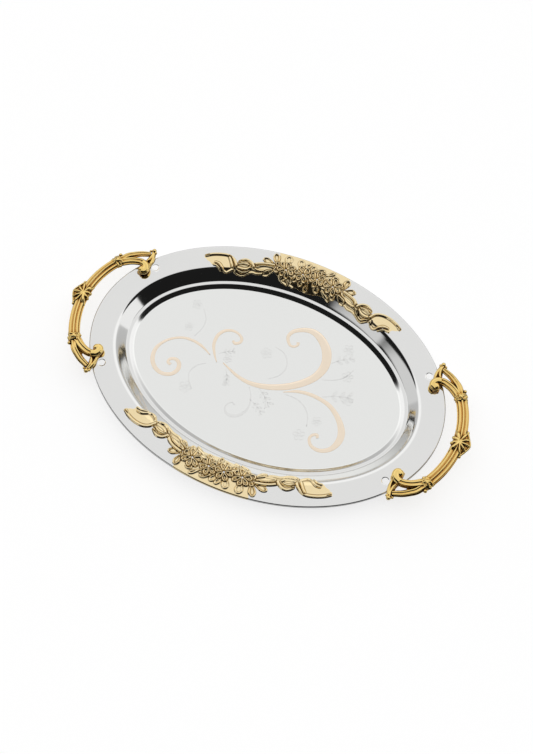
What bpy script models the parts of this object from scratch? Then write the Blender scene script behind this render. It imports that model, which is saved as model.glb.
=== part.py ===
"""Oval serving tray: a pressed sheet with an embossed rim and two cast handles.

Metres, +Z up. The origin is the centre of the flat underside that the tray rests on. +X runs along
the tray's length to the right-hand handle, and -Y is the tray's front.
"""
import math

import bmesh
import bpy
from mathutils import Matrix, Vector

# ---- Driving dimensions -------------------------------------------------------------------------
HALF_LENGTH = 0.2100        # outer rim, from the centre to either end
HALF_WIDTH = 0.1512         # outer rim, from the centre to either long side
SHEET = 0.0008              # thickness of the pressed sheet
WELL_DEPTH = 0.0190         # from the rim's top face down to the floor's top face
GAP = 0.0003                # space kept between pieces that touch

# The sheet's cross-section. Each distance is measured inward from the rim's outer edge.
LIP_DROP = 0.0030           # the edge is turned down by this much
LIP_RADIUS = 0.0018
RIM_WIDTH = 0.0275          # where the flat rim meets the line of the wall
RIM_BEND_RADIUS = 0.0115
WALL_FOOT = 0.0407          # where the line of the wall meets the ledge
WALL_FOOT_RADIUS = 0.0016
LEDGE_HEIGHT = 0.0038       # the ledge stands this far above the floor
LEDGE_END = 0.0439
LEDGE_RADIUS = 0.0015
FLOOR_START = 0.0494
FLOOR_RADIUS = 0.0020
ORNAMENT_LINE = 0.0193      # lengths along a long side are measured on this line inside the edge

# The handle's centre line. Heights are measured from the rim's top face.
BAR_RADIUS = 0.1047         # the grip is an arc of this radius
BAR_TOP_X = 0.2295          # the grip's furthest point from the tray's centre
BAR_END_Y = 0.0540          # the grip runs between two knots at this distance each side
BAR_MID_HEIGHT = 0.0070
BAR_END_HEIGHT = 0.0048
BAR_HALF_WIDTH = 0.0064
BAR_HALF_DEPTH = 0.0045
REED_DEPTH = 0.09           # depth of the grip's grooves, as a share of its radius
REED_COUNT = 6

# Fastening of each handle foot, on the right-hand handle's rear foot.
SCREW_X = 0.1840
SCREW_Y = 0.0590
SCREW_RADIUS = 0.0019
SCREW_HEAD_RADIUS = 0.0036
SCREW_HEAD_HEIGHT = 0.0022
SCREW_GRIP = 0.0052         # how far the screw reaches above the rim's top face
SCREW_SLOT = 0.0008
BOSS_RADIUS = 0.0046        # of the solid metal round each screw
BOSS_HEIGHT = 0.0066
WASHER_RADIUS = 0.0048
WASHER_THICKNESS = 0.0008

# The open hole beside each foot.
OPEN_HOLE_X = 0.1727
OPEN_HOLE_Y = 0.0680
OPEN_HOLE_RADIUS = 0.0038

# Worked-out levels
RIM_TOP = SHEET + WELL_DEPTH
RIM_UNDERSIDE = RIM_TOP - SHEET
WASHER_TOP = RIM_UNDERSIDE - GAP
HEAD_TOP = WASHER_TOP - WASHER_THICKNESS - GAP

# Resolution
RIM_ROWS = 3                # steps across the flat part of the rim
ORNAMENT_COLUMNS = 36       # steps along each embossed long side
END_COLUMNS = 22            # steps round each plain end
ORNAMENT_HALF_ANGLE = math.radians(41)

MIRRORED_CORNERS = {
    "right_rear": (1, 1),
    "right_front": (1, -1),
    "left_rear": (-1, 1),
    "left_front": (-1, -1),
}


# ---- Helpers ------------------------------------------------------------------------------------
def clear_scene():
    for item in list(bpy.data.objects):
        bpy.data.objects.remove(item, do_unlink=True)


def make_material(name, colour, roughness, metallic):
    material = bpy.data.materials.new(name)
    material.use_nodes = True
    shader = material.node_tree.nodes["Principled BSDF"]
    shader.inputs["Base Color"].default_value = (*colour, 1.0)
    shader.inputs["Roughness"].default_value = roughness
    shader.inputs["Metallic"].default_value = metallic
    material.diffuse_color = (*colour, 1.0)
    return material


def add_object(name, mesh, material=None):
    item = bpy.data.objects.new(name, mesh)
    bpy.context.collection.objects.link(item)
    if material is not None:
        mesh.materials.clear()
        mesh.materials.append(material)
    return item


def mesh_from_bmesh(name, bm):
    """Turn a bmesh into a mesh whose faces all point out."""
    bmesh.ops.recalc_face_normals(bm, faces=bm.faces)
    mesh = bpy.data.meshes.new(name)
    bm.to_mesh(mesh)
    bm.free()
    return mesh


def bridge_rings(bm, rings, close_ends=True):
    """Join rings of vertices into a tube, with its two ends filled."""
    for lower, upper in zip(rings, rings[1:]):
        count = len(lower)
        for k in range(count):
            following = (k + 1) % count
            bm.faces.new((lower[k], lower[following], upper[following], upper[k]))
    if close_ends:
        bm.faces.new(rings[0])
        bm.faces.new(rings[-1])


def boolean_result(base, tools, operation, name):
    """Join or cut base with one tool after another, and return the finished mesh."""
    for tool in tools:
        modifier = base.modifiers.new("joined", "BOOLEAN")
        modifier.operation = operation
        modifier.solver = "EXACT"
        modifier.object = tool
        bpy.context.view_layer.update()
        evaluated = base.evaluated_get(bpy.context.evaluated_depsgraph_get())
        mesh = bpy.data.meshes.new_from_object(evaluated)
        base.modifiers.clear()
        base.data = mesh
        bpy.data.objects.remove(tool, do_unlink=True)
    bpy.data.objects.remove(base, do_unlink=True)
    mesh.name = name
    return mesh


def shade_round(mesh, angle_degrees=35):
    mesh.shade_smooth()
    mesh.set_sharp_from_angle(angle=math.radians(angle_degrees))


def smooth_step(value):
    clamped = min(max(value, 0.0), 1.0)
    return clamped * clamped * (3.0 - 2.0 * clamped)


# ---- Sheet --------------------------------------------------------------------------------------
def arc_corner(before, corner, after, radius, steps):
    """Points along the arc that rounds a corner of an outline."""
    to_before = (before - corner).normalized()
    to_after = (after - corner).normalized()
    half_angle = to_before.angle(to_after) / 2
    centre = corner + (to_before + to_after).normalized() * (radius / math.sin(half_angle))
    reach = radius / math.tan(half_angle)
    first = corner + to_before * reach - centre
    last = corner + to_after * reach - centre
    start_angle = math.atan2(first.y, first.x)
    turn = first.angle_signed(last) * -1
    points = []
    for k in range(steps + 1):
        angle = start_angle + turn * k / steps
        points.append(centre + Vector((math.cos(angle), math.sin(angle))) * radius)
    return points


def section_outline():
    """The sheet's top face in section, as (distance inward, height above the rest plane)."""
    ledge_top = SHEET + LEDGE_HEIGHT
    lip_foot = Vector((0.0, RIM_TOP - LIP_DROP))
    lip_corner = Vector((0.0, RIM_TOP))
    rim_corner = Vector((RIM_WIDTH, RIM_TOP))
    foot_corner = Vector((WALL_FOOT, ledge_top))
    ledge_corner = Vector((LEDGE_END, ledge_top))
    floor_corner = Vector((FLOOR_START, SHEET))
    centre = Vector((HALF_WIDTH, SHEET))
    outline = [lip_foot]
    outline += arc_corner(lip_foot, lip_corner, rim_corner, LIP_RADIUS, 2)
    rim_bend = arc_corner(lip_corner, rim_corner, foot_corner, RIM_BEND_RADIUS, 2)
    rim_step = (rim_bend[0].x - LIP_RADIUS) / (RIM_ROWS + 1)
    for k in range(1, RIM_ROWS + 1):
        outline.append(Vector((LIP_RADIUS + k * rim_step, RIM_TOP)))
    outline += rim_bend
    wall_middle = rim_corner.lerp(foot_corner, 2 / 3)
    outline.append(wall_middle)
    outline += arc_corner(rim_corner, foot_corner, ledge_corner, WALL_FOOT_RADIUS, 2)
    outline += arc_corner(foot_corner, ledge_corner, floor_corner, LEDGE_RADIUS, 1)
    outline += arc_corner(ledge_corner, floor_corner, centre, FLOOR_RADIUS, 1)
    return outline


def outline_normals(outline):
    """The upward side of each outline point, lengthened so that offset segments stay parallel."""
    directions = [(b - a).normalized() for a, b in zip(outline, outline[1:])]
    directions = [directions[0], *directions, Vector((1.0, 0.0))]
    normals = []
    for before, after in zip(directions, directions[1:]):
        middle = (before + after).normalized()
        stretch = 1.0 / before.dot(middle)
        normals.append(Vector((-middle.y, middle.x)) * stretch)
    return normals


def column_angles():
    """Ellipse angles round the tray, close together at the two embossed long sides."""
    fine = 2 * ORNAMENT_HALF_ANGLE / ORNAMENT_COLUMNS
    coarse = (math.pi - 2 * ORNAMENT_HALF_ANGLE) / END_COLUMNS
    angles = []
    for side in range(2):
        middle = math.pi / 2 + side * math.pi
        angles += [middle - ORNAMENT_HALF_ANGLE + k * fine for k in range(ORNAMENT_COLUMNS)]
        angles += [middle + ORNAMENT_HALF_ANGLE + k * coarse for k in range(END_COLUMNS)]
    return angles


def swell(distance, half, fade):
    """1 within half of a centre, falling smoothly to 0 over fade."""
    return 1.0 - smooth_step((abs(distance) - half) / fade)


def dome(along, inward, radius, height):
    """A round swelling of the sheet, measured from its own centre."""
    distance = math.hypot(along, inward)
    return height * math.cos(math.pi / 2 * min(distance / radius, 1.0))


def emboss_height(along, inward):
    """Height of the pressed ornament at a distance along the long side and inward from the edge."""
    away = abs(along)
    bouquet = 0.0010 * swell(along, 0.042, 0.008) * swell(inward - 0.019, 0.012, 0.006)
    middle_flower = dome(along, inward - 0.018, 0.014, 0.0026)
    side_flower = dome(away - 0.028, inward - 0.020, 0.014, 0.0026)
    side_petal = dome(away - 0.050, inward - 0.013, 0.009, 0.0020)
    bud = 0.0018 * swell(away - 0.060, 0.011, 0.006) * swell(inward - 0.024, 0.003, 0.004)
    knot = 0.0016 * swell(away - 0.080, 0.005, 0.006) * swell(inward - 0.024, 0.004, 0.006)
    tail = 0.0016 * swell(away - 0.106, 0.012, 0.006) * swell(inward - 0.020, 0.007, 0.006)
    return max(bouquet, middle_flower, side_flower, side_petal, bud, knot, tail)


def build_tray_sheet():
    outline = section_outline()
    normals = outline_normals(outline)
    bm = bmesh.new()
    top_rings = [[] for _ in outline]
    under_rings = [[] for _ in outline]
    for angle in column_angles():
        edge = Vector((HALF_LENGTH * math.cos(angle), HALF_WIDTH * math.sin(angle)))
        outward = Vector((math.cos(angle) / HALF_LENGTH, math.sin(angle) / HALF_WIDTH)).normalized()
        along = (edge - outward * ORNAMENT_LINE).x
        for k, (point, normal) in enumerate(zip(outline, normals)):
            lift = emboss_height(along, point.x)
            raised = point + normal * lift
            under = point + normal * (lift - SHEET)
            for ring, place in ((top_rings[k], raised), (under_rings[k], under)):
                plan = edge - outward * place.x
                ring.append(bm.verts.new((plan.x, plan.y, place.y)))
    bridge_rings(bm, top_rings, close_ends=False)
    bridge_rings(bm, under_rings, close_ends=False)
    bridge_rings(bm, [top_rings[0], under_rings[0]], close_ends=False)
    bm.faces.new(top_rings[-1])
    bm.faces.new(under_rings[-1])
    return mesh_from_bmesh("tray_sheet", bm)


def cylinder_tool(name, place, radius, low, high, segments):
    bm = bmesh.new()
    bmesh.ops.create_cone(bm, cap_ends=True, segments=segments, radius1=radius, radius2=radius,
                          depth=high - low)
    tool = add_object(name, mesh_from_bmesh(name, bm))
    tool.location = (place[0], place[1], (low + high) / 2)
    return tool


def build_tray_body(material):
    """The pressed sheet, with its screw holes and its open rim holes cut through."""
    beyond = 0.003
    sheet = add_object("tray_sheet", build_tray_sheet())
    cutters = []
    for corner, (side_x, side_y) in MIRRORED_CORNERS.items():
        holes = (
            (SCREW_X, SCREW_Y, SCREW_RADIUS + GAP, 12),
            (OPEN_HOLE_X, OPEN_HOLE_Y, OPEN_HOLE_RADIUS, 20),
        )
        for x, y, radius, segments in holes:
            cutters.append(cylinder_tool("hole_" + corner, (side_x * x, side_y * y), radius,
                                         RIM_UNDERSIDE - beyond, RIM_TOP + beyond, segments))
    mesh = boolean_result(sheet, cutters, "DIFFERENCE", "tray_body")
    shade_round(mesh)
    return add_object("tray_body", mesh, material)


# ---- Handles ------------------------------------------------------------------------------------
def smooth_path(points, steps):
    """A Catmull-Rom curve through the points, with a number of steps between each two."""
    padded = [points[0] * 2 - points[1], *points, points[-1] * 2 - points[-2]]
    path = []
    for p0, p1, p2, p3 in zip(padded, padded[1:], padded[2:], padded[3:]):
        for k in range(steps):
            t = k / steps
            path.append(0.5 * ((2 * p1) + (p2 - p0) * t + (2 * p0 - 5 * p1 + 4 * p2 - p3) * t ** 2
                               + (3 * p1 - p0 - 3 * p2 + p3) * t ** 3))
    path.append(points[-1])
    return path


def sweep(name, path, half_width, half_depth, sides, reeds=0.0):
    """A bar along a path. The half sizes are functions of the share of the path covered."""
    bm = bmesh.new()
    rings = []
    last = len(path) - 1
    for k, place in enumerate(path):
        forward = (path[min(k + 1, last)] - path[max(k - 1, 0)]).normalized()
        across = forward.cross(Vector((0, 0, 1))).normalized()
        upward = across.cross(forward)
        share = k / last
        ring = []
        for side in range(sides):
            angle = math.tau * side / sides
            groove = 1.0 + reeds * math.cos(REED_COUNT * angle)
            offset = across * math.cos(angle) * half_width(share) * groove
            offset += upward * math.sin(angle) * half_depth(share) * groove
            ring.append(bm.verts.new(place + offset))
        rings.append(ring)
    bridge_rings(bm, rings)
    return add_object(name, mesh_from_bmesh(name, bm))


def constant(value):
    return lambda share: value


def bulge(ends, middle):
    """A half size that is greatest halfway along."""
    return lambda share: ends + (middle - ends) * math.sin(math.pi * share)


def grip_point(y):
    """A point on the centre line of the right-hand handle's grip."""
    centre_x = BAR_TOP_X - BAR_RADIUS
    x = centre_x + math.sqrt(BAR_RADIUS ** 2 - y ** 2)
    drop = (BAR_MID_HEIGHT - BAR_END_HEIGHT) * (y / BAR_END_Y) ** 2
    return Vector((x, y, RIM_TOP + BAR_MID_HEIGHT - drop))


def above_rim(x, y, height):
    return Vector((x, y, RIM_TOP + height))


def build_grip():
    reach = BAR_END_Y + 0.004
    stations = 18
    path = [grip_point(-reach + 2 * reach * k / stations) for k in range(stations + 1)]
    return sweep("grip", path, constant(BAR_HALF_WIDTH), constant(BAR_HALF_DEPTH), 18, REED_DEPTH)


def collar_parts():
    """The shell collar at the middle of the grip and the knot near each end of it."""
    middle_reach = 0.011
    middle = [grip_point(-middle_reach + middle_reach * k / 3) for k in range(7)]
    parts = [sweep("shell_collar", middle, bulge(0.0045, 0.0080), bulge(0.0032, 0.0056), 13)]
    tip = above_rim(0.2425, 0.0, BAR_MID_HEIGHT + 0.0010)
    root = above_rim(0.2290, 0.0, BAR_MID_HEIGHT)
    fan = [root.lerp(tip, k / 4) for k in range(5)]
    fan_width = 0.0170
    parts.append(sweep("shell_fan", fan, lambda share: fan_width * (1.05 - share) ** 0.9,
                       lambda share: 0.0050 - 0.0030 * share, 10))
    knot_reach = 0.0055
    for side in (1, -1):
        knot = [grip_point(side * (BAR_END_Y - knot_reach + knot_reach * k / 3)) for k in range(7)]
        parts.append(sweep("knot", knot, bulge(0.0043, 0.0088), bulge(0.0031, 0.0057), 13))
    return parts


def foot_parts(side):
    """The two strands beyond a knot, with the volute, the flared leaf, the bead and the base."""
    inner = [
        grip_point(BAR_END_Y - 0.002),
        above_rim(0.2078, 0.0592, 0.0045),
        above_rim(0.2000, 0.0632, 0.0042),
        above_rim(0.1925, 0.0645, 0.0042),
        above_rim(0.1862, 0.0620, 0.0045),
        above_rim(0.1838, 0.0560, 0.0050),
    ]
    outer = [
        grip_point(BAR_END_Y - 0.001),
        above_rim(0.2065, 0.0705, 0.0044),
        above_rim(0.1975, 0.0770, 0.0040),
        above_rim(0.1895, 0.0800, 0.0038),
        above_rim(0.1832, 0.0812, 0.0034),
    ]
    leaf = [
        above_rim(0.1828, 0.0565, 0.0042),
        above_rim(0.1822, 0.0690, 0.0040),
        above_rim(0.1826, 0.0840, 0.0038),
    ]
    base = [
        above_rim(0.1858, 0.0500, 0.0018),
        above_rim(0.1842, 0.0600, 0.0018),
        above_rim(0.1815, 0.0730, 0.0018),
    ]
    flip = Matrix.Diagonal((1, side, 1))
    inner, outer, leaf, base = ([flip @ point for point in line] for line in (inner, outer, leaf, base))
    parts = [
        sweep("inner_strand", smooth_path(inner, 2), constant(0.0043), constant(0.0036), 8),
        sweep("outer_strand", smooth_path(outer, 2), constant(0.0033), constant(0.0031), 8),
        sweep("leaf", smooth_path(leaf, 3), bulge(0.0022, 0.0050), bulge(0.0030, 0.0036), 8),
        sweep("base", smooth_path(base, 2), bulge(0.0040, 0.0056), constant(0.0015), 10),
    ]
    for name, place, radius in (
        ("volute", above_rim(0.1836, 0.0535, 0.0053), 0.0047),
        ("bead", above_rim(0.1832, 0.0855, 0.0034), 0.0027),
    ):
        bm = bmesh.new()
        bmesh.ops.create_uvsphere(bm, u_segments=9, v_segments=7, radius=radius)
        ball = add_object(name, mesh_from_bmesh(name, bm))
        ball.location = flip @ place
        parts.append(ball)
    parts.append(cylinder_tool("boss", (SCREW_X, side * SCREW_Y), BOSS_RADIUS,
                               RIM_TOP + GAP, RIM_TOP + BOSS_HEIGHT, 12))
    return parts


def build_handle_mesh():
    """The right-hand handle as one casting, with a blind screw hole in each foot."""
    parts = [*collar_parts(), *foot_parts(1), *foot_parts(-1)]
    casting = boolean_result(build_grip(), parts, "UNION", "casting")
    drills = []
    for side in (1, -1):
        drills.append(cylinder_tool("drill", (SCREW_X, side * SCREW_Y), SCREW_RADIUS + GAP,
                                    RIM_UNDERSIDE, RIM_TOP + SCREW_GRIP + GAP, 12))
    # the feet are cut flat just above the rim; the slab stops short of the grip
    slab_length, slab_width, slab_height = 0.120, 0.260, 0.020
    slab_end = SCREW_X + 0.012
    underside = add_object("underside", slab_mesh(slab_length, slab_width, slab_height))
    underside.location = (slab_end - slab_length / 2, 0, RIM_TOP + GAP - slab_height / 2)
    mesh = boolean_result(add_object("casting", casting), [underside, *drills], "DIFFERENCE", "handle")
    shade_round(mesh, 40)
    return mesh


def slab_mesh(length, width, height):
    bm = bmesh.new()
    bmesh.ops.create_cube(bm, size=1.0)
    bmesh.ops.scale(bm, vec=(length, width, height), verts=bm.verts)
    return mesh_from_bmesh("slab", bm)


def build_handles(material):
    mesh = build_handle_mesh()
    add_object("handle_right", mesh, material)
    left = add_object("handle_left", mesh, material)
    left.rotation_euler.z = math.pi


# ---- Fasteners ----------------------------------------------------------------------------------
def turned_mesh(name, profile, segments):
    """A solid turned about Z from (radius, height) points that start and end on the axis."""
    bm = bmesh.new()
    rings = []
    for radius, height in profile[1:-1]:
        ring = []
        for k in range(segments):
            angle = math.tau * k / segments
            ring.append(bm.verts.new((radius * math.cos(angle), radius * math.sin(angle), height)))
        rings.append(ring)
    bridge_rings(bm, rings)
    return mesh_from_bmesh(name, bm)


def screw_mesh():
    """A pan-head screw, point up, with the underside of its head at height 0."""
    edge = 0.0007
    point = RIM_TOP + SCREW_GRIP - HEAD_TOP
    profile = [
        (0, -SCREW_HEAD_HEIGHT),
        (SCREW_HEAD_RADIUS - edge * 1.6, -SCREW_HEAD_HEIGHT),
        (SCREW_HEAD_RADIUS, -SCREW_HEAD_HEIGHT + edge),
        (SCREW_HEAD_RADIUS, 0),
        (SCREW_RADIUS, 0),
        (SCREW_RADIUS, point - edge),
        (SCREW_RADIUS - edge, point),
        (0, point),
    ]
    blank = add_object("screw_blank", turned_mesh("screw_blank", profile, 12))
    slot_length = SCREW_HEAD_RADIUS * 1.2
    slots = []
    for name, size in (("slot_x", (slot_length, SCREW_SLOT)), ("slot_y", (SCREW_SLOT, slot_length))):
        slot = add_object(name, slab_mesh(size[0], size[1], SCREW_HEAD_HEIGHT))
        slot.location.z = -SCREW_HEAD_HEIGHT
        slots.append(slot)
    mesh = boolean_result(blank, slots, "DIFFERENCE", "handle_screw")
    shade_round(mesh)
    return mesh


def washer_mesh():
    """A plain washer whose top face is at height 0."""
    segments = 16
    bore = SCREW_RADIUS + GAP
    corners = [(bore, 0), (WASHER_RADIUS, 0), (WASHER_RADIUS, -WASHER_THICKNESS),
               (bore, -WASHER_THICKNESS)]
    bm = bmesh.new()
    rings = []
    for k in range(segments):
        angle = math.tau * k / segments
        rings.append([bm.verts.new((r * math.cos(angle), r * math.sin(angle), z)) for r, z in corners])
    bridge_rings(bm, [*rings, rings[0]], close_ends=False)
    mesh = mesh_from_bmesh("handle_washer", bm)
    shade_round(mesh)
    return mesh


def build_fasteners(material):
    screw = screw_mesh()
    washer = washer_mesh()
    for corner, (side_x, side_y) in MIRRORED_CORNERS.items():
        for name, mesh, height in (("handle_screw_", screw, HEAD_TOP),
                                   ("handle_washer_", washer, WASHER_TOP)):
            piece = add_object(name + corner, mesh, material)
            piece.location = (side_x * SCREW_X, side_y * SCREW_Y, height)


def main():
    clear_scene()
    steel = make_material("polished_steel", (0.80, 0.80, 0.78), 0.08, 1.0)
    gold = make_material("gold_plated_casting", (0.86, 0.62, 0.26), 0.18, 1.0)
    zinc = make_material("zinc_plated_steel", (0.62, 0.63, 0.65), 0.35, 1.0)
    build_tray_body(steel)
    build_handles(gold)
    build_fasteners(zinc)


main()
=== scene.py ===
"""Looks for the oval serving tray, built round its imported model.

The tray is a polished pressed sheet. Gold ornaments of flowers and ribbons are pressed into both long
sides, peach scrolls are plated on the floor, and a reeded cast handle stands at each end.
Lengths are in metres in the model's frame; a design drawn in millimetres is scaled by MM.
"""
import math

import bmesh
import bpy
import numpy as np
from mathutils import Matrix, Vector


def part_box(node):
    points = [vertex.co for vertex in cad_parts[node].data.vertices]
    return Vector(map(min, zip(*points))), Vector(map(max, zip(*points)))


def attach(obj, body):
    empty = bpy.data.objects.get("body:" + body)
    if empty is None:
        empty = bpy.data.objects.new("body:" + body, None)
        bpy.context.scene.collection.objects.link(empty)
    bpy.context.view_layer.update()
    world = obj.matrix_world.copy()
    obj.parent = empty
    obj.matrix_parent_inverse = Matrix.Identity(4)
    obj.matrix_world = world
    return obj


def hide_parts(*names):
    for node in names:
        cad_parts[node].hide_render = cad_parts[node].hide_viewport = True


MM = 0.001
BODY = "root"

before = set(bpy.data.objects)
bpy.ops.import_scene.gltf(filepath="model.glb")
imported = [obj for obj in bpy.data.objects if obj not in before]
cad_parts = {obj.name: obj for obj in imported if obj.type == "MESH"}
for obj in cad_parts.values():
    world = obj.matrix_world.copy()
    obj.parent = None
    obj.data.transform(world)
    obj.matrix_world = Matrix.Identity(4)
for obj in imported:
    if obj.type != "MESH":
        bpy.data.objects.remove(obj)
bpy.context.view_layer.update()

# ---- Driving dimensions, from the frame ----
GAP = 0.3 * MM  # kept between pieces that touch
HALF_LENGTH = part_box("tray_body")[1].x
HALF_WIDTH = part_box("tray_body")[1].y
SHEET = 0.8 * MM
RIM_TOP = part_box("handle_right")[0].z - GAP
RIM_UNDERSIDE = RIM_TOP - SHEET

# The sheet's cross-section, measured inward from the rim's outer edge.
LIP_DROP = 3.0 * MM
LIP_RADIUS = 1.8 * MM
RIM_WIDTH = 27.5 * MM
RIM_BEND_RADIUS = 11.5 * MM
WALL_FOOT = 40.7 * MM
WALL_FOOT_RADIUS = 1.6 * MM
LEDGE_HEIGHT = 3.8 * MM
LEDGE_END = 43.9 * MM
LEDGE_RADIUS = 1.5 * MM
FLOOR_START = 49.4 * MM
FLOOR_RADIUS = 2.0 * MM
OPEN_HOLE_X = 172.7 * MM
OPEN_HOLE_Y = 68.0 * MM
OPEN_HOLE_RADIUS = 3.8 * MM
SCREW_HOLE_RADIUS = 2.2 * MM
HOLE_BEVEL = 0.7 * MM  # depth of the flare round each hole
HOLE_FLARE = 1.1 * MM

# The ornament. A design point is (along the long side, inward from the edge), both in millimetres.
ORNAMENT_LINE = 20.0 * MM  # lengths along the side are measured on this line
ORNAMENT_REACH = 130.0 * MM
GRID_STEP = 0.38 * MM
SUNK = -0.35 * MM  # where the skin dips out of sight below the sheet
FIELD = 0.06 * MM  # plain plated areas stand this far above the sheet
FIELD_EDGE = 0.7 * MM
FIELD_SHOULDER = 4.5 * MM
FLANK = 1.3 * MM  # width of the slope outside a petal's crest line
RIB_FLANK = 1.9 * MM
BOWL = 1.7 * MM  # width of the slope inside a petal's crest line
GROOVE = 0.5 * MM  # what lies this close to a new shape is pressed back down
FLOWER_ROOT = 1.7 * MM  # a flower's petals start this far from its middle
FLOWER_CREST = 2.2 * MM
FLOWER_DISH = 1.8 * MM
EYE_RADIUS = 2.0 * MM
EYE_DEPTH = 1.5 * MM
BOUQUET_SWELL = 0.9 * MM  # the sheet bulges this much round each flower
BOUQUET_SPREAD = 13.0 * MM
BUD_CREST = 1.9 * MM
BUD_DISH = 1.5 * MM
PETAL_TRIM = 0.8  # a drawn petal loses this width to its crest line
PETAL_LIFT = 0.2
PETAL_DISH = 0.95  # depth of a petal's dish as a share of its height
RIBBON_SWELL = 0.25 * MM
SLIT_HALF_WIDTH = 0.7 * MM
SKIN_START = -2.2 * MM  # the skin begins this far over the lip
SKIN_BACK = -0.45 * MM  # the skin's hidden back face
SHADE_BLUR_ROUNDS = 9  # how far the height is blurred to find the hollows that get painted shade
# the hollow depth at which the ornament's painted shade is full
SHADE_HOLLOW_DEPTH = 0.6 * MM
UNDER_RELIEF = 0.3 * MM  # the pressing shows this deep under the sheet
UNDER_SOFTNESS = 1.2 * MM
ARC_STEP = 0.05 * MM  # spacing of the section's lookup table

# How finely the sheet is divided, and the angle above which its edges stay sharp.
TOP_ROW_STEP = 3.0 * MM
UNDER_ROW_STEP = 1.0 * MM
ORNAMENT_COLUMN_STEP = 0.9 * MM
END_COLUMNS = 120
SHEET_SHARP_ANGLE = math.radians(38)

CORNERS = ((1, 1), (1, -1), (-1, 1), (-1, -1))


# ---- Curves and distances ----
def smooth_step(value):
    clamped = np.clip(value, 0.0, 1.0)
    return clamped * clamped * (3.0 - 2.0 * clamped)


def smooth_path(points, closed=False, steps=8):
    """A Catmull-Rom curve through the points."""
    points = np.asarray(points, float)
    if closed:
        padded = np.concatenate((points[-1:], points, points[:2]))
    else:
        before = 2 * points[:1] - points[1:2]
        after = 2 * points[-1:] - points[-2:-1]
        padded = np.concatenate((before, points, after))
    share = np.linspace(0, 1, steps, endpoint=False)[:, None]
    spans = []
    for p0, p1, p2, p3 in zip(padded, padded[1:], padded[2:], padded[3:]):
        spans.append(0.5 * (2 * p1 + (p2 - p0) * share + (2 * p0 - 5 * p1 + 4 * p2 - p3) * share ** 2
                            + (3 * p1 - p0 - 3 * p2 + p3) * share ** 3))
    spans.append(padded[-2:-1])
    return np.concatenate(spans)


def path_distance(along, down, path):
    """Distance from each grid point to a line of short segments."""
    nearest = np.full(along.shape, np.inf)
    for start, end in zip(path, path[1:]):
        step = end - start
        share = ((along - start[0]) * step[0] + (down - start[1]) * step[1]) / (step @ step)
        share = np.clip(share, 0.0, 1.0)
        reach = np.hypot(along - start[0] - share * step[0], down - start[1] - share * step[1])
        nearest = np.minimum(nearest, reach)
    return nearest


def travelled(points):
    """The distance from a line's start to each of its points, along the line."""
    return np.concatenate(([0.0], np.cumsum(np.hypot(*np.diff(points, axis=0).T))))


def inside_path(along, down, path):
    """Which grid points a closed line goes round."""
    inside = np.zeros(along.shape, bool)
    for start, end in zip(path, path[1:]):
        if start[1] == end[1]:
            continue
        crosses = (start[1] > down) != (end[1] > down)
        crossing = start[0] + (down - start[1]) * (end[0] - start[0]) / (end[1] - start[1])
        inside ^= crosses & (along < crossing)
    return inside


def depth_inside(along, down, path):
    """Distance from a closed line to each grid point, negative outside."""
    distance = path_distance(along, down, path)
    return np.where(inside_path(along, down, path), distance, -distance)


def blurred(values, rounds):
    """Each value averaged with its neighbours, a number of times."""
    for _ in range(rounds):
        for axis in (0, 1):
            padded = np.pad(values, [(1, 1) if k == axis else (0, 0) for k in (0, 1)], mode="edge")
            values = (np.take(padded, range(values.shape[axis]), axis)
                      + 2 * values
                      + np.take(padded, range(2, values.shape[axis] + 2), axis)) / 4
    return values


# ---- The tray's surface ----
def rounded_corner(before, corner, after, radius, steps):
    """Points along the arc that rounds a corner of the section."""
    to_before = (before - corner).normalized()
    to_after = (after - corner).normalized()
    half_angle = to_before.angle(to_after) / 2
    centre = corner + (to_before + to_after).normalized() * (radius / math.sin(half_angle))
    reach = radius / math.tan(half_angle)
    first = corner + to_before * reach - centre
    last = corner + to_after * reach - centre
    start_angle = math.atan2(first.y, first.x)
    turn = -first.angle_signed(last)
    points = []
    for k in range(steps + 1):
        angle = start_angle + turn * k / steps
        points.append(centre + Vector((math.cos(angle), math.sin(angle))) * radius)
    return points


def section_outline(steps):
    """The sheet's top face in section, as (inward, height) points, from the lip to the floor."""
    ledge_top = SHEET + LEDGE_HEIGHT
    corners = (
        (Vector((0.0, RIM_TOP)), LIP_RADIUS),
        (Vector((RIM_WIDTH, RIM_TOP)), RIM_BEND_RADIUS),
        (Vector((WALL_FOOT, ledge_top)), WALL_FOOT_RADIUS),
        (Vector((LEDGE_END, ledge_top)), LEDGE_RADIUS),
        (Vector((FLOOR_START, SHEET)), FLOOR_RADIUS),
    )
    lip_foot = Vector((0.0, RIM_TOP - LIP_DROP))
    floor_inside = Vector((FLOOR_START * 1.15, SHEET))
    stops = [lip_foot, *(corner for corner, _ in corners), floor_inside]
    outline = [lip_foot]
    for k, (corner, radius) in enumerate(corners):
        outline += rounded_corner(stops[k], corner, stops[k + 2], radius, steps)
    outline.append(floor_inside)
    return np.array(outline)


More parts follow.
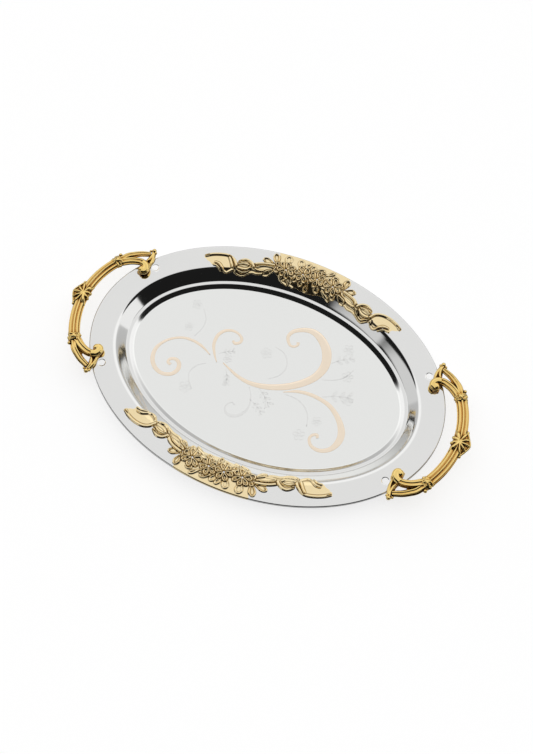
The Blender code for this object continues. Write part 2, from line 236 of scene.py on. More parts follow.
class TraySurface:
    """The tray's top face, addressed by ellipse angle and by distance down its section."""

    def __init__(self):
        outline = section_outline(steps=40)
        arc = travelled(outline)
        self.arc = np.arange(0.0, arc[-1], ARC_STEP)
        self.inward = np.interp(self.arc, arc, outline[:, 0])
        self.height = np.interp(self.arc, arc, outline[:, 1])
        self.lean_in = -np.gradient(self.height, self.arc)
        self.lean_up = np.gradient(self.inward, self.arc)
        self.angles = np.linspace(0.02, math.pi - 0.02, 4001)
        along = travelled(self.plan(self.angles, ORNAMENT_LINE))
        self.along = np.interp(math.pi / 2, self.angles, along) - along

    def plan(self, angle, inward):
        """The (x, y) of points a distance inside the rim's edge."""
        edge = np.stack((HALF_LENGTH * np.cos(angle), HALF_WIDTH * np.sin(angle)), -1)
        out = np.stack((np.cos(angle) / HALF_LENGTH, np.sin(angle) / HALF_WIDTH), -1)
        out /= np.linalg.norm(out, axis=-1, keepdims=True)
        return edge - out * np.asarray(inward)[..., None]

    def place(self, angle, arc, lift):
        """The (x, y, z) of points lifted off the top face along its own normal."""
        inward = np.interp(arc, self.arc, self.inward) + np.interp(arc, self.arc, self.lean_in) * lift
        height = np.interp(arc, self.arc, self.height) + np.interp(arc, self.arc, self.lean_up) * lift
        return np.concatenate((self.plan(angle, inward), height[..., None]), -1)

    def angle_at(self, along):
        """The ellipse angle at a distance along the rear long side."""
        return np.interp(-np.asarray(along), -self.along, self.angles)

    def along_at(self, angle):
        """The distance along the rear or the front long side, both measured the same way round."""
        return np.interp(np.mod(angle, math.pi), self.angles, self.along)

    def arc_at(self, inward):
        """The distance down the section at a distance inward. Below LIP_RADIUS it follows the lip."""
        flat = self.inward >= LIP_RADIUS
        first = self.arc[flat][0]
        on_top = np.interp(inward, self.inward[flat], self.arc[flat])
        return np.where(np.asarray(inward) >= LIP_RADIUS, on_top,
                        np.maximum(first - LIP_RADIUS + inward, 0.0))


surface = TraySurface()


# ---- Objects and meshes ----
def linked(name, data):
    made = bpy.data.objects.new(name, data)
    bpy.context.scene.collection.objects.link(made)
    return made


def add_object(name, mesh, material):
    mesh.name = name
    mesh.materials.clear()
    mesh.materials.append(material)
    return linked(name, mesh)


def add_piece(name, mesh, material, slot, *nodes):
    """A finished piece that rides on the tray and stands for CAD nodes."""
    piece = add_object(name, mesh, material)
    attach(piece, BODY)
    if nodes:
        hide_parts(*nodes)


def mesh_from_faces(places, faces):
    mesh = bpy.data.meshes.new("shape")
    mesh.from_pydata(places.tolist(), [], faces)
    mesh.shade_smooth()
    return mesh


def ring_mesh(places, columns, closed=False):
    """A solid from rings of points, numbered ring by ring. It is capped, or closed end to end."""
    rows = len(places) // columns
    here = np.arange(rows if closed else rows - 1)[:, None] * columns
    ahead = (here + columns) % len(places)
    column = np.arange(columns)
    following = (column + 1) % columns
    faces = np.stack((here + column, here + following, ahead + following, ahead + column), -1)
    faces = faces.reshape(-1, 4).tolist()
    if not closed:
        faces.append(column[::-1].tolist())
        faces.append((len(places) - columns + column).tolist())
    return mesh_from_faces(places, faces)


def mesh_of(bm):
    """The finished mesh of a bmesh, its faces turned outward."""
    bmesh.ops.recalc_face_normals(bm, faces=bm.faces)
    mesh = bpy.data.meshes.new("shape")
    bm.to_mesh(mesh)
    bm.free()
    return mesh


def joined(meshes):
    """One mesh from several."""
    bm = bmesh.new()
    for mesh in meshes:
        bm.from_mesh(mesh)
    return mesh_of(bm)


def evaluated_mesh(piece):
    """A piece's mesh with its modifiers applied."""
    bpy.context.view_layer.update()
    evaluated = piece.evaluated_get(bpy.context.evaluated_depsgraph_get())
    return bpy.data.meshes.new_from_object(evaluated)


def cut_with(mesh, tools):
    """The mesh with each tool's shape cut out of it."""
    base = linked("cut_base", mesh)
    for tool_mesh in tools:
        tool = linked("cut_tool", tool_mesh)
        modifier = base.modifiers.new("cut", "BOOLEAN")
        modifier.operation = "DIFFERENCE"
        modifier.solver = "MANIFOLD"
        modifier.object = tool
        result = evaluated_mesh(base)
        base.modifiers.clear()
        base.data = result
        bpy.data.objects.remove(tool, do_unlink=True)
    bpy.data.objects.remove(base, do_unlink=True)
    return result


# ---- Ornament design ----
class Relief:
    """Heights of the pressed ornament on a grid over one long side."""

    def __init__(self):
        self.along = np.arange(-ORNAMENT_REACH, ORNAMENT_REACH, GRID_STEP)
        self.down = np.arange(surface.arc_at(SKIN_START), surface.arc_at(WALL_FOOT), GRID_STEP)
        self.height = np.full((len(self.along), len(self.down)), SUNK)

    def to_grid(self, points):
        """Design points in millimetres as (along, down the section) in metres."""
        points = np.asarray(points, float) * MM
        return np.stack((points[:, 0], surface.arc_at(points[:, 1])), -1)

    def near(self, path, margin):
        """The part of the grid round a path: its slices and its point coordinates."""
        low = path.min(0) - margin
        high = path.max(0) + margin
        rows = slice(*np.searchsorted(self.along, (low[0], high[0])))
        columns = slice(*np.searchsorted(self.down, (low[1], high[1])))
        along, down = np.meshgrid(self.along[rows], self.down[columns], indexing="ij")
        return (rows, columns), along, down

    def press(self, part, outside, rise, crest, dish=0.0):
        """Raise a shape to its crest, and press back down whatever lies just outside it."""
        ground = self.height[part]
        clear = smooth_step(1.0 - outside / GROOVE)
        ground = ground + (np.minimum(ground, FIELD) - ground) * clear
        self.height[part] = ground + (crest - ground) * rise - dish

    def add_rib(self, path, half_width, crest):
        """A rounded rib along a path."""
        part, along, down = self.near(path, half_width + RIB_FLANK + GROOVE)
        distance = path_distance(along, down, path)
        rise = 1.0 - smooth_step((distance - half_width) / RIB_FLANK)
        self.press(part, distance - half_width - RIB_FLANK, rise, crest)

    def add_petal(self, path, crest, dish):
        """A closed loop along its crest line, with a dished middle."""
        part, along, down = self.near(path, FLANK + GROOVE)
        depth = depth_inside(along, down, path)
        hollow = dish * smooth_step(depth / BOWL)
        self.press(part, -depth - FLANK, smooth_step(1.0 + depth / FLANK), crest, hollow)

    def add_field(self, path, swell=0.0):
        """A plain area inside a closed path, level or swelling toward its middle."""
        part, along, down = self.near(path, FIELD_EDGE)
        depth = depth_inside(along, down, path)
        rise = np.clip(0.5 + depth / FIELD_EDGE, 0.0, 1.0)
        level = FIELD + swell * smooth_step(depth / FIELD_SHOULDER)
        self.height[part] = np.maximum(self.height[part], SUNK + (level - SUNK) * rise)

    def dome(self, centre, radius):
        """The part of the grid round a centre, and a dome of height 1 over it."""
        part, along, down = self.near(centre[None], radius)
        distance = np.hypot(along - centre[0], down - centre[1])
        return part, 1.0 - smooth_step(distance / radius)

    def cut_pit(self, centre, radius, depth):
        part, dome = self.dome(centre, radius)
        self.height[part] -= depth * dome

    def add_swell(self, centre, radius, height):
        """Lift what is already pressed near a centre, like a shallow dome."""
        part, dome = self.dome(centre, radius)
        shown = np.clip((self.height[part] - SUNK) / (FIELD - SUNK), 0.0, 1.0)
        self.height[part] += height * dome * shown

    def sample(self, along, down):
        """The height above the sheet at any points; nothing outside the grid."""
        row = np.clip((along - self.along[0]) / GRID_STEP, 0, len(self.along) - 1.001)
        column = np.clip((down - self.down[0]) / GRID_STEP, 0, len(self.down) - 1.001)
        i = row.astype(int)
        j = column.astype(int)
        s = row - i
        t = column - j
        height = ((1 - s) * (1 - t) * self.height[i, j] + s * (1 - t) * self.height[i + 1, j]
                  + (1 - s) * t * self.height[i, j + 1] + s * t * self.height[i + 1, j + 1])
        outside = (np.abs(along) > ORNAMENT_REACH) | (down > self.down[-1]) | (down < self.down[0])
        return np.where(outside, 0.0, np.maximum(height, 0.0))


def petal_path(root, tip, width):
    """A closed teardrop from a narrow root to a round tip."""
    axis = tip - root
    side = np.array((-axis[1], axis[0])) / np.linalg.norm(axis) * width / 2
    return smooth_path((root - side * 0.12, root + axis * 0.30 - side * 0.62, root + axis * 0.68 - side,
                        root + axis * 0.93 - side * 0.55, tip, root + axis * 0.93 + side * 0.55,
                        root + axis * 0.68 + side, root + axis * 0.30 + side * 0.62,
                        root + side * 0.12), closed=True, steps=6)


# (root, tip, width, crest height) of the petals round the flowers: on the wall, then on the rim
PETALS = (
    ((-31.0, 24.5), (-31.4, 33.4), 6.4, 1.5),
    ((-24.0, 27.0), (-20.6, 33.6), 5.0, 1.5),
    ((-12.0, 24.5), (-18.6, 31.4), 5.2, 1.6),
    ((-9.2, 25.5), (-8.4, 33.6), 5.6, 1.6),
    ((-0.4, 27.5), (-0.4, 37.0), 5.4, 1.7),
    ((9.0, 25.0), (14.4, 33.8), 6.6, 1.7),
    ((20.0, 30.2), (32.6, 36.2), 3.6, 1.5),
    ((31.0, 26.5), (36.6, 33.2), 6.2, 1.6),
    ((40.0, 26.6), (51.8, 32.2), 7.6, 1.8),
    ((-44.5, 25.5), (-56.4, 32.4), 6.6, 1.6),
    ((-42.5, 17.5), (-46.5, 4.0), 7.4, 1.9),
    ((-45.5, 18.2), (-59.3, 13.4), 7.2, 1.9),
    ((41.0, 17.5), (42.0, 4.0), 6.8, 1.9),
    ((43.5, 18.6), (55.6, 13.2), 7.2, 1.9),
    ((-31.0, 15.5), (-31.0, 3.4), 8.0, 1.1),
    ((-13.5, 15.5), (-17.2, 4.0), 7.2, 1.1),
    ((-10.0, 14.0), (-5.6, 5.0), 5.0, 1.2),
    ((-4.0, 15.0), (0.6, 6.0), 5.6, 1.2),
    ((2.0, 12.6), (12.0, 6.4), 5.4, 1.6),
    ((5.0, 13.8), (16.5, 10.4), 4.4, 1.5),
    ((16.0, 11.0), (23.4, 3.6), 3.6, 1.3),
    ((26.0, 16.0), (28.4, 7.6), 8.2, 1.3),
    ((32.0, 19.5), (40.2, 15.2), 5.4, 1.5),
    ((-37.0, 19.0), (-44.2, 16.0), 5.0, 1.7),
    ((-35.5, 22.5), (-44.4, 26.0), 6.2, 1.8),
)
# (centre, number of petals, reach, petal width, turn in degrees)
FLOWERS = (
    ((-30.5, 21.6), 7, 10.2, 4.8, 20),
    ((8.4, 20.0), 6, 9.8, 5.2, 30),
    ((-9.5, 20.6), 6, 10.0, 5.2, 0),
    ((29.2, 20.4), 7, 10.8, 5.2, 12),
)
# the plain gold ground that the bouquet stands on
GROUND = (
    (-41.5, -2.6), (-20, -2.6), (0, -2.6), (20, -2.6), (39.5, -2.6), (41, 8), (42, 20), (41, 29),
    (34, 34.8), (20, 35), (4, 37.6), (-4, 37.6), (-14, 36.4), (-29, 35.4), (-38, 31), (-44, 26),
    (-43.5, 16), (-42.5, 6),
)

# (points, half width, crest height) of the ribbons' edges. Left and right differ a little, as pressed.
RIBS = (
    (((-88.4, 24.6), (-83.4, 23.6), (-78.4, 23.8), (-73.8, 25.6)), 0.2, 1.8),
    (((-126, 12.4), (-118, 11.4), (-108, 11.9), (-100, 13.6), (-94.8, 17.6), (-91.6, 22.6), (-89.6, 28),
      (-84, 32.4), (-78, 31), (-73, 26.6), (-68, 22.6), (-58, 20.2), (-46, 19.4)), 0.62, 2.3),
    (((-99, 16.6), (-97.4, 20.5), (-96.2, 25), (-94.6, 29.6), (-91, 33.4), (-86, 35.2), (-80, 35),
      (-75.5, 33), (-71, 31.8), (-65, 32.2), (-59, 31.4)), 0.38, 1.9),
    (((-87, 21.0), (-83.4, 18.8), (-79, 18), (-74.4, 19.8), (-71, 23), (-69.4, 25.6)), 0.6, 2.1),
    (((-88.6, 28.4), (-83, 29.4), (-77.5, 29.2), (-74, 27.4)), 0.28, 1.7),
    (((-115.4, 22.6), (-111.4, 24.6), (-108.8, 28.2), (-106.2, 31.8), (-102.6, 33.2), (-98.6, 32),
      (-95, 30.6)), 0.4, 1.9),
    (((-118, 25.4), (-114.6, 26.6), (-112, 29.2), (-109.8, 32)), 0.23, 1.4),
    (((-36, 27.8), (-35.6, 32), (-31, 34.8), (-25, 36.4)), 0.2, 1.5),
    (((-25.6, 31.6), (-22.6, 35), (-17, 36.8)), 0.2, 1.4),
    (((85.4, 24.6), (81, 23.6), (76, 23.6), (70.6, 25.4)), 0.2, 1.8),
    (((122, 12.6), (115, 11.5), (107, 12.0), (99.5, 13.9), (94, 16.8), (90, 21), (88, 26), (85.6, 30.6),
      (80.5, 34), (75, 33.4), (70, 30.2), (66, 26.2), (61, 22.2), (54, 20.2), (44, 19.4)), 0.62, 2.3),
    (((86.4, 32.6), (82, 35.6), (77, 35.6), (71, 34), (65, 32.8), (58, 33.2), (53, 32)), 0.35, 1.8),
    (((84, 21.0), (80.4, 19.2), (76.4, 18.2), (71.8, 19.8), (68.6, 22.8), (67, 25.6)), 0.6, 2.1),
    (((85, 28.6), (79.5, 29.6), (74.6, 29.2), (71.6, 27.2)), 0.28, 1.7),
    (((112.4, 23.2), (107.6, 25), (104.6, 28.4), (102, 32), (98, 33.6), (94, 32.6),
      (90.4, 30.2)), 0.45, 2.0),
    (((116.6, 25.2), (112, 26.6), (108.6, 29), (105.6, 31.8)), 0.2, 1.3),
)
# slender outlined buds beside the ribbons
BUDS = (
    ((-44.5, 23.4), (-53, 22.6), (-61, 24.0), (-68.2, 27.2), (-62, 28.8), (-55, 28.0), (-49, 25.8)),
    ((42.5, 22.8), (49.5, 22.4), (57.5, 23.6), (65.4, 27.4), (58.5, 28.6), (50.5, 27.4), (45.0, 25.0)),
)
# plain ribbon faces between the ribs
RIBBON_FACES = (
    ((-126.6, 16.6), (-112, 16.2), (-98.8, 16.6), (-96.4, 22), (-96.0, 27.2), (-103, 27.2), (-109.4, 27.0),
     (-112.4, 25.8), (-119.6, 25.6), (-122.6, 21.8)),
    ((-109.4, 26.8), (-95.6, 26.8), (-94.6, 31), (-99, 32.6), (-103.6, 33), (-106.8, 31.4)),
    ((-126.2, 11), (-118, 10), (-100, 13), (-99, 17), (-126.6, 16.6)),
    ((-98.4, 16), (-94, 17.6), (-90, 26), (-88, 31), (-80, 33), (-72, 27), (-70, 31.6), (-80, 35),
     (-90, 34.2), (-95, 29)),
    ((-87.6, 21), (-83.4, 19), (-79, 18.6), (-74.4, 20), (-70, 25), (-75, 31), (-84, 32), (-89.6, 28)),
    ((-70.5, 25), (-64, 22), (-46, 20), (-44, 26), (-50, 33), (-58, 32), (-68, 32), (-74, 30)),
    ((121.6, 16.4), (108, 16), (97.4, 16.4), (94.2, 21), (94.0, 27.2), (99, 27.6), (104.6, 27.8),
     (109.4, 25.2), (116.6, 25.0), (118.2, 20.6)),
    ((93.6, 27), (104.8, 27.6), (102.6, 31.4), (98.2, 33.2), (93.4, 32)),
    ((121.8, 11), (114, 10.2), (98, 13.6), (96, 17), (121.6, 16.6)),
    ((97.6, 15.6), (91.6, 18.4), (88, 26), (85, 31), (86, 34), (92, 31), (94.6, 26)),
    ((85, 21), (80.4, 19.4), (76.4, 18.6), (71.4, 20.2), (67, 25), (71.6, 31), (80, 34.4), (87, 31),
     (88, 26)),
    ((68, 27), (61, 22.6), (44, 20), (42, 26), (52, 33), (64, 33.2), (76, 35.6), (84, 34.6)),
)
RIBBON_SLITS = (((-127.5, 12.6), (-122.6, 12.2)), ((-87.6, 20.6), (-82.6, 20.4)),
                ((123.5, 12.2), (117.0, 12.8)), ((85.0, 20.4), (78.6, 20.2)))


def add_flower(relief, centre, count, reach, width, turn):
    """Overlapping dished petals round a small pitted eye."""
    centre = relief.to_grid([centre])[0]
    for k in range(count):
        angle = math.radians(turn) + math.tau * k / count
        away = np.array((math.cos(angle), math.sin(angle)))
        tip = centre + away * (reach + 0.7 * math.sin(2.3 * k)) * MM
        crest = FLOWER_CREST + 0.2 * math.cos(1.7 * k) * MM
        relief.add_petal(petal_path(centre + away * FLOWER_ROOT, tip, width * MM), crest, FLOWER_DISH)
    relief.cut_pit(centre, EYE_RADIUS, EYE_DEPTH)
    return centre


def design_relief():
    """The whole ornament of the rear long side."""
    relief = Relief()
    relief.add_field(smooth_path(relief.to_grid(GROUND), closed=True, steps=4))
    for face in RIBBON_FACES:
        relief.add_field(smooth_path(relief.to_grid(face), closed=True, steps=4), RIBBON_SWELL)
    for points in BUDS:
        relief.add_petal(smooth_path(relief.to_grid(points), closed=True), BUD_CREST, BUD_DISH)
    for root, tip, width, crest in PETALS:
        path = petal_path(*relief.to_grid((root, tip)), (width - PETAL_TRIM) * MM)
        relief.add_petal(path, (crest + PETAL_LIFT) * MM, PETAL_DISH * crest * MM)
    for points, half_width, crest in RIBS:
        relief.add_rib(smooth_path(relief.to_grid(points)), half_width * MM, crest * MM)
    for start, end in RIBBON_SLITS:
        cut_slit(relief, *relief.to_grid((start, end)))
    centres = [add_flower(relief, *flower) for flower in FLOWERS]
    for centre in centres:
        relief.add_swell(centre, BOUQUET_SPREAD, BOUQUET_SWELL)
    return relief


def cut_slit(relief, start, end):
    """The notch in a ribbon's tip."""
    line = np.array((start, end))
    part, along, down = relief.near(line, 2 * SLIT_HALF_WIDTH)
    cut = 1.0 - smooth_step(path_distance(along, down, line) / SLIT_HALF_WIDTH - 0.3)
    height = relief.height[part]
    relief.height[part] = height + (FIELD - height) * cut * (height > FIELD)


# ---- Ornament skins ----
def skin_faces(cells, index, back):
    """Top, back and edge faces for the kept cells of a grid. index numbers the grid's points."""
    corners = np.stack((index[:-1, :-1], index[:-1, 1:], index[1:, 1:], index[1:, :-1]))
    top = corners[:, cells].T
    faces = [top, top[:, ::-1] + back]
    padded = np.pad(cells, 1)
    neighbours = (padded[:-2, 1:-1], padded[1:-1, 2:], padded[2:, 1:-1], padded[1:-1, :-2])
    for k, neighbour in enumerate(neighbours):
        bare = cells & ~neighbour
        start = corners[k][bare]
        end = corners[(k + 1) % 4][bare]
        faces.append(np.stack((end, start, start + back, end + back), -1))
    return np.concatenate(faces)


def skin_mesh(relief):
    """The gold skin as a closed mesh. Where nothing is pressed it isn't there."""
    shown = relief.height > SUNK * 0.7
    cells = shown[:-1, :-1] | shown[1:, :-1] | shown[:-1, 1:] | shown[1:, 1:]
    used = np.zeros(shown.shape, bool)
    for rows in (slice(None, -1), slice(1, None)):
        for columns in (slice(None, -1), slice(1, None)):
            used[rows, columns] |= cells
    count = int(used.sum())
    index = np.full(shown.shape, -1)
    index[used] = np.arange(count)
    angle, down = np.meshgrid(surface.angle_at(relief.along), relief.down, indexing="ij")
    angle, down, height = angle[used], down[used], relief.height[used]
    front = surface.place(angle, down, height)
    back = surface.place(angle, down, np.full(count, SKIN_BACK))
    faces = skin_faces(cells, index, count)
    mesh = mesh_from_faces(np.concatenate((front, back)), faces.tolist())
    # Painted shade mask: how far each point lies below its blurred surroundings. The hidden back face gets
    # full painted shade.
    hollow = (blurred(relief.height, SHADE_BLUR_ROUNDS) - relief.height)[used] / SHADE_HOLLOW_DEPTH
    attribute = mesh.attributes.new("recess", "FLOAT", "POINT")
    hollow = np.concatenate((np.clip(hollow, 0.0, 1.0), np.ones(count)))
    attribute.data.foreach_set("value", hollow.astype(np.float32))
    return mesh


def build_ornaments(relief, material):
    rear = skin_mesh(relief)
    front = rear.copy()
    front.transform(Matrix.Rotation(math.pi, 4, "Z"))
    add_piece("ornament_rear", rear, material, "polished_sheet")
    add_piece("ornament_front", front, material, "polished_sheet")


# ---- Pressed sheet ----
def ring_angles():
    """Ellipse angles round the tray, closer together along the two ornaments."""
    fine = surface.angle_at(np.arange(ORNAMENT_REACH, -ORNAMENT_REACH, -ORNAMENT_COLUMN_STEP))
    coarse = np.linspace(fine[-1], fine[0] + math.pi, END_COLUMNS + 1)[1:-1]
    half = np.concatenate((fine, coarse))
    return np.concatenate((half, half + math.pi))


def section_rows(spacing):
    """Distances down the section: close together in the bends, and never further than spacing."""
    stops = np.minimum(travelled(section_outline(steps=6)), surface.arc[-1])
    rows = []
    for start, end in zip(stops, stops[1:]):
        count = max(1, math.ceil((end - start) / spacing))
        rows += [start + (end - start) * k / count for k in range(count)]
    rows.append(stops[-1])
    return np.array(rows)


def sheet_mesh(relief):
    """The sheet as rings from the middle of its underside, round the lip, to the middle of its top."""
    angles = ring_angles()
    under_angle, under_arc = np.meshgrid(angles, section_rows(UNDER_ROW_STEP)[::-1])
    pressed = relief.sample(surface.along_at(under_angle), under_arc)
    pressed = UNDER_RELIEF * np.tanh(pressed / UNDER_SOFTNESS)
    under = surface.place(under_angle, under_arc, pressed - SHEET)
    top_angle, top_arc = np.meshgrid(angles, section_rows(TOP_ROW_STEP))
    top = surface.place(top_angle, top_arc, np.zeros(top_arc.shape))
    return ring_mesh(np.concatenate((under, top)).reshape(-1, 3), len(angles))


def round_tool(place, radius, low, high, top_radius=None, segments=64):
    """An upright round cutter, straight or widening upward."""
    bm = bmesh.new()
    bmesh.ops.create_cone(bm, cap_ends=True, segments=segments, radius1=radius,
                          radius2=top_radius or radius, depth=high - low,
                          matrix=Matrix.Translation((*place, (low + high) / 2)))
    return mesh_of(bm)


def build_sheet(relief, material):
    screw_low, screw_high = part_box("handle_screw_right_rear")
    screw = (screw_low + screw_high) / 2
    tools = []
    for side_x, side_y in CORNERS:
        for x, y, radius in ((screw.x, screw.y, SCREW_HOLE_RADIUS),
                             (OPEN_HOLE_X, OPEN_HOLE_Y, OPEN_HOLE_RADIUS)):
            place = (side_x * x, side_y * y)
            tools.append(round_tool(place, radius, RIM_UNDERSIDE - 3 * MM, RIM_TOP + 3 * MM))
            tools.append(round_tool(place, radius, RIM_TOP - HOLE_BEVEL, RIM_TOP + HOLE_BEVEL,
                                    radius + 2 * HOLE_FLARE))
    mesh = cut_with(sheet_mesh(relief), tools)
    mesh.shade_smooth()
    mesh.set_sharp_from_angle(angle=SHEET_SHARP_ANGLE)
    add_piece("tray_sheet", mesh, material, "polished_sheet", "tray_body")


# ---- Plated and etched floor pattern ----
# (points on the floor from the tray's centre, widths spread evenly along the line), in millimetres
PLATED_SCROLLS = (
    (((17.5, 54.5), (18.7, 51.5), (16.2, 48), (11.5, 47), (6.8, 51), (4.2, 57.6), (7.7, 65.8), (17.6, 72.2),
      (28.6, 74.2), (39.6, 70), (50.6, 60), (56.6, 47.5), (57.6, 36), (54, 23.5), (46.5, 12.8), (37, 3.8),
      (26, -3.8), (12, -10.4), (-2, -14.4), (-15, -15.6), (-28.6, -13.6), (-41, -9), (-51, -5)),
     (3.6, 2.8, 2.8, 3.6, 4.6, 6.0, 9.0, 11.0, 10.4, 9.0, 8.6, 8.0, 6.4, 4.6, 3.0, 1.0)),
    (((-58, -7.5), (-65, 1.6), (-70.6, 12), (-71.6, 23.4), (-67.4, 32.3), (-59.4, 36.9), (-50.6, 36.4),
      (-44.4, 32.3), (-43.8, 27), (-48.6, 23.4), (-52.6, 25.4)),
     (0.8, 2.6, 3.6, 4.0, 3.8, 3.2, 2.8, 3.2, 3.4, 3.8, 2.6)),
    (((-69, -2), (-81.4, 4), (-94.6, 6.6), (-107.8, 5), (-120, -2.4), (-127.8, -13), (-130, -23.4),
      (-127, -34.5), (-119.6, -42.4), (-110, -45.6), (-100, -42.6), (-95, -35), (-96.4, -27.2),
      (-102.3, -23.2), (-108.4, -25.2), (-109.4, -30), (-105, -31.6)),
     (1.0, 3.2, 3.2, 2.8, 3.2, 4.4, 5.0, 4.8, 4.4, 4.6, 5.0, 4.4, 3.6, 3.2, 3.4)),
    (((27, -10.5), (39.6, -4), (51.7, -1), (66, -1), (81.4, -4.4), (94.6, -13), (104, -24), (108, -35),
      (106.4, -46), (100.8, -54.4), (91.3, -59), (82, -57.6), (76.8, -51.4), (77.7, -45.6), (82.5, -43),
      (84.6, -46.4)),
     (0.8, 3.4, 4.2, 4.4, 5.2, 6.4, 8.2, 7.6, 5.6, 4.6, 3.8, 3.2, 3.0, 3.6, 2.8)),
)
ETCHED_SCROLLS = (
    (((-17, -47), (-20.5, -45.6), (-24, -48.5), (-25.4, -54), (-22, -59.6), (-15, -61), (-7.4, -57),
      (-2.4, -49), (-1.4, -40), (-4.4, -30), (-10.5, -21)),
     (1.6, 1.2, 1.4, 2.0, 2.8, 3.4, 3.0, 2.2, 1.4, 0.8)),
    (((-70, -49), (-78, -40), (-81, -30), (-77, -20), (-68, -13)), (0.6, 1.2, 1.4, 1.2, 0.6)),
    (((30, -12), (44, -12), (56, -17), (64, -26), (68, -38)), (0.6, 1.2, 1.6, 1.4, 0.8)),
    (((5, -2), (14, 6), (18, 17), (15, 28), (7, 36), (-3, 38)), (0.6, 1.4, 1.8, 1.6, 1.2, 0.6)),
    (((62, 22), (74, 27), (84, 35), (90, 47)), (0.6, 1.2, 1.4, 0.7)),
    (((-96, 13), (-92, 26), (-93, 38), (-101, 49)), (0.6, 1.2, 1.2, 0.6)),
    (((6, -21), (13, -28), (16, -38)), (0.5, 1.1, 0.5)),
    (((-42, -14), (-38, -22), (-40, -30)), (0.5, 1.1, 0.5)),
)
# (centre, size, turn in degrees) of the small etched star flowers, and (start, end) of leaf sprays
ETCHED_STARS = (((-78, -50), 13, 10), ((64, -51), 12.5, 40), ((76, -28), 10, 5), ((87, 37), 12, 25),
                ((-10, 27), 12.5, 50), ((-111, 52), 11, 15), ((75, 70), 11, 0), ((-107, 21), 9.5, 35),
                ((98, 10), 11.5, 20), ((-48, 2), 9.5, 60))
LEAF_SPRAYS = (((-2, -16), (20, -34)), ((-44, -12), (-36, -30)), ((70, 2), (104, 14)), ((62, 44), (86, 62)),
               ((-60, 4), (-44, 14)), ((-4, -34), (16, -46)))
FLOOR_LIFT = 0.05 * MM
STRIP_BEVEL = 0.12 * MM
BORDER_WIDTH = 0.45 * MM
THIN_LINE = (0.5, 0.5)


def strip_mesh(path, widths, lift):
    """A thin closed band on the floor along a path, its width spread along it."""
    count = len(path)
    ahead = path[np.minimum(np.arange(count) + 1, count - 1)]
    behind = path[np.maximum(np.arange(count) - 1, 0)]
    forward = ahead - behind
    forward /= np.linalg.norm(forward, axis=1, keepdims=True)
    side = np.stack((-forward[:, 1], forward[:, 0]), -1)
    half = np.interp(np.linspace(0, 1, count), np.linspace(0, 1, len(widths)), widths)[:, None] / 2
    bevel = min(STRIP_BEVEL, half.min() * 0.5)
    low = SHEET - FLOOR_LIFT * 2
    high = SHEET + lift
    rings = []
    for reach, height in ((half, low), (half, high - lift * 0.6), (half - bevel, high),
                          (bevel - half, high), (-half, high - lift * 0.6), (-half, low)):
        plan = path + side * reach
        rings.append(np.concatenate((plan, np.full((count, 1), height)), 1))
    return ring_mesh(np.stack(rings, 1).reshape(-1, 3), len(rings))


def floor_point(place):
    return np.asarray(place, float) * MM


def star_lines(centre, size, turn):
    """Five small outlined petals round a centre."""
    centre = floor_point(centre)
    for k in range(5):
        angle = math.radians(turn) + math.tau * k / 5
        away = np.array((math.cos(angle), math.sin(angle)))
        yield petal_path(centre + away * 0.12 * size * MM, centre + away * 0.55 * size * MM,
                         0.34 * size * MM)


def spray_lines(start, end):
    """A stem with a pair of small leaves at each of three steps."""
    start, end = floor_point(start), floor_point(end)
    stem = end - start
    side = np.array((-stem[1], stem[0]))
    yield smooth_path((start, start + stem * 0.5 + side * 0.06, end))
    for share in (0.3, 0.55, 0.8):
        root = start + stem * share + side * 0.05
        for way in (1, -1):
            tip = root + stem * 0.17 + side * 0.17 * way
            yield petal_path(root, tip, 0.07 * np.linalg.norm(stem))


def build_floor_pattern(peach, rim_of_peach, frosted):
    plated = []
    borders = []
    for points, widths in PLATED_SCROLLS:
        path = smooth_path(floor_point(points), steps=10)
        widths = np.array(widths) * MM
        borders.append(strip_mesh(path, widths, FLOOR_LIFT))
        inner = np.maximum(widths - 2 * BORDER_WIDTH, 0.3 * MM)
        plated.append(strip_mesh(path, inner, FLOOR_LIFT * 1.6))
    add_piece("floor_scrolls", joined(plated), peach, "gold_casting")
    add_piece("floor_scroll_borders", joined(borders), rim_of_peach, "gold_casting")
    lines = [(smooth_path(floor_point(points)), widths) for points, widths in ETCHED_SCROLLS]
    for star in ETCHED_STARS:
        lines += [(path, THIN_LINE) for path in star_lines(*star)]
    for spray in LEAF_SPRAYS:
        lines += [(path, THIN_LINE) for path in spray_lines(*spray)]
    etched = [strip_mesh(path, np.array(widths) * MM, FLOOR_LIFT * 0.6) for path, widths in lines]
    add_piece("floor_etching", joined(etched), frosted, "polished_sheet")


# ---- Cast handles ----
# Millimetres; a place is (x, y, height above the rim) on the right-hand handle's rear half.
BAR_RADIUS = 104.7
BAR_TOP_X = 229.5
BAR_END_Y = 54.0
BAR_MID_HEIGHT = 7.0
BAR_END_HEIGHT = 4.8
BAR_HALF_WIDTH = 6.6
BAR_HALF_DEPTH = 4.7
GRIP_GROOVE = 0.34  # depth of the grooves between reeds, as a share of the radius
STRAND_GROOVE = 0.32
SHELL_PIVOT = np.array((229.8, 2.0, 11.6))
SHELL_WEB = ((231.0, 2.5, 6.2), (235.4, 2.5, 6.2), (242.6, 2.5, 6.2))
SHELL_EDGE = ((235.2, 17.0, 7.4), (239.4, 9.8, 7.8), (242.4, 2.5, 8.0), (239.6, -5.0, 7.8),
              (235.4, -12.4, 7.4))
SHELL_LEAVES = ((224.4, 13.4, 7.4), (222.6, 6.0, 6.4), (222.6, -1.4, 6.4), (224.4, -9.2, 7.4))
SHELL_KNOBS = ((235.2, 17.2, 7.0), (235.6, -12.6, 7.0), (224.0, 14.2, 7.0), (224.2, -10.2, 7.0))
KNOT_TIES = (((209.4, 50.4), (219.0, 60.0)), ((219.8, 49.4), (207.4, 58.6)))
KNOT_KNOBS = ((208.8, 50.0, 1.5), (221.2, 52.0, 2.1), (219.0, 57.8, 2.2), (215.8, 63.4, 2.2))
